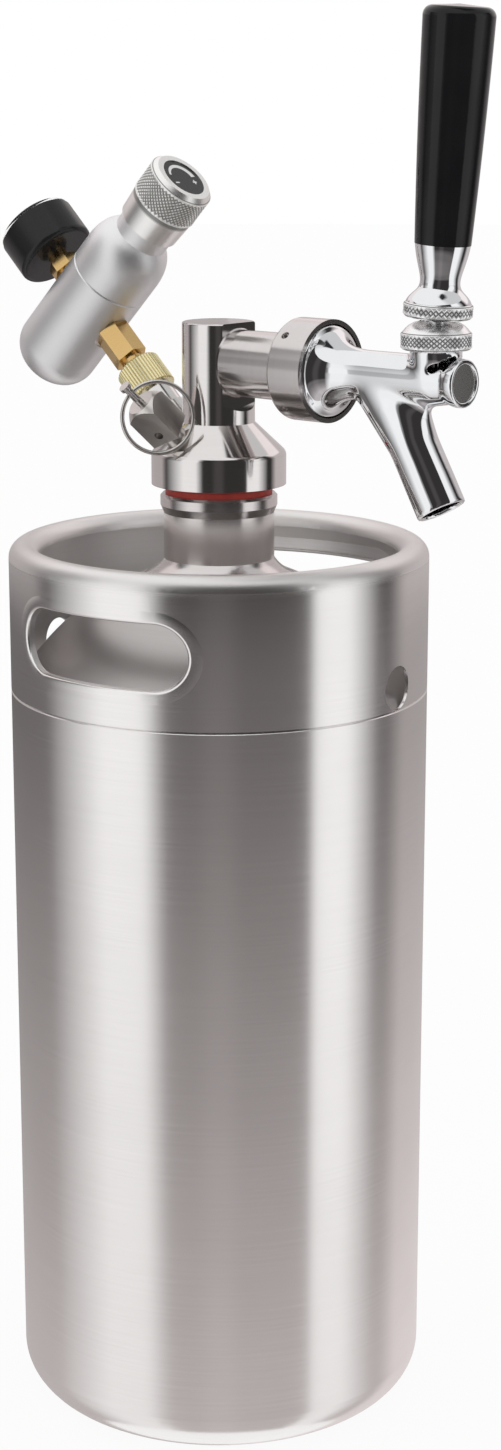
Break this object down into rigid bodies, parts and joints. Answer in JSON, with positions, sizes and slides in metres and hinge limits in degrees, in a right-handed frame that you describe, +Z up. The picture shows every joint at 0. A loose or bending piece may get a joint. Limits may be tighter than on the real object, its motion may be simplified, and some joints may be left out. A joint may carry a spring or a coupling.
{
  "type": "mini keg beer dispenser",
  "caption": "Stainless mini keg with a screw-on tapping head: a forward lever tap on one side, a gas cartridge regulator with gauge on the other, and a pull-ring relief valve.",
  "frame": {"origin": "centre of the keg's base, on the surface it stands on", "axes": "+Z up along the keg's axis, -Y towards the tap, +X to the right when facing the tap from behind the keg"},
  "size_m": [0.165, 0.2361, 0.5551],
  "materials": {
    "keg_wall": "brushed",
    "keg_top": "brushed",
    "polished_steel": "polished",
    "turned_steel": "fine turned",
    "tap_chrome": "polished",
    "shaft_steel": "turned",
    "seal_red": "satin",
    "seal_black": "satin",
    "handle_black": "gloss",
    "nut_brass": "knurled",
    "fitting_brass": "machined",
    "reg_aluminium": "satin blasted",
    "knob_aluminium": "knurled",
    "label_black": "satin",
    "gauge_black": "satin",
    "dial_white": "matte",
    "needle_black": "matte",
    "lens_clear": "clear",
    "cartridge_steel": "satin"
  },
  "bodies": {
    "keg": {"keg_shell": "keg_wall", "keg_dome": "keg_top", "keg_neck": "turned_steel", "top_chime": "keg_wall", "neck_seal": "seal_red", "cap_body": "polished_steel", "head_post": "polished_steel", "outlet_pipe": "turned_steel", "dip_tube": "polished_steel", "shank_collar": "turned_steel", "tap_washer": "seal_black", "tap_body": "tap_chrome", "front_plug": "shaft_steel", "tap_bonnet": "tap_chrome", "ball_seat": "seal_black", "gas_post": "polished_steel", "gas_seal": "seal_red", "gas_nut": "nut_brass", "gas_fitting": "fitting_brass", "reg_body": "reg_aluminium", "reg_bonnet": "reg_aluminium", "co2_cartridge": "cartridge_steel", "pierce_seat": "fitting_brass", "reg_piston": "fitting_brass", "reg_spring": "shaft_steel", "gauge_stem": "fitting_brass", "gauge_case": "gauge_black", "gauge_dial": "dial_white", "gauge_lens": "lens_clear", "relief_body": "polished_steel"},
    "lever": {"lever_stem": "tap_chrome", "lever_ring": "tap_chrome", "handle_ferrule": "tap_chrome", "tap_handle": "handle_black"},
    "shaft": {"valve_shaft": "shaft_steel"},
    "knob": {"reg_knob": "knob_aluminium", "knob_label": "label_black", "reg_spindle": "shaft_steel"},
    "needle": {"gauge_needle": "needle_black"},
    "pin": {"relief_pin": "shaft_steel", "relief_spring": "shaft_steel"},
    "ring": {"pull_ring": "polished_steel"}
  },
  "joints": [
    {"name": "tap_lever", "type": "hinge", "parent": "keg", "child": "lever", "pos_m": [0, -0.1052, 0.441], "axis": [1, 0, 0], "range_deg": [0, 20]},
    {"name": "valve_travel", "type": "slide", "parent": "keg", "child": "shaft", "axis": [0, 1, 0], "range_m": [0, 0.006]},
    {"name": "pressure_knob", "type": "hinge", "parent": "keg", "child": "knob", "pos_m": [0, 0.06851, 0.44244], "axis": [0.0471, -0.6876, 0.7246], "range_deg": [0, 270]},
    {"name": "gauge_needle_turn", "type": "hinge", "parent": "keg", "child": "needle", "pos_m": [0, 0.0202, 0.3966], "axis": [0, -0.7254, -0.6884], "range_deg": [0, 270]},
    {"name": "relief_pull", "type": "slide", "parent": "keg", "child": "pin", "axis": [-0.6899, 0.2242, 0.6884], "range_m": [0, 0.003], "stiffness_N_per_m": 500, "springref_m": -0.002},
    {"name": "pull_ring_swing", "type": "hinge", "parent": "pin", "child": "ring", "pos_m": [-0.03646, 0.01185, 0.41381], "axis": [-0.6053, 0.343, -0.7183], "range_deg": [0, 110]}
  ],
  "couplings": [
    {"joint": "valve_travel", "follows": "tap_lever", "m_per_rad": 0.01642}
  ]
}
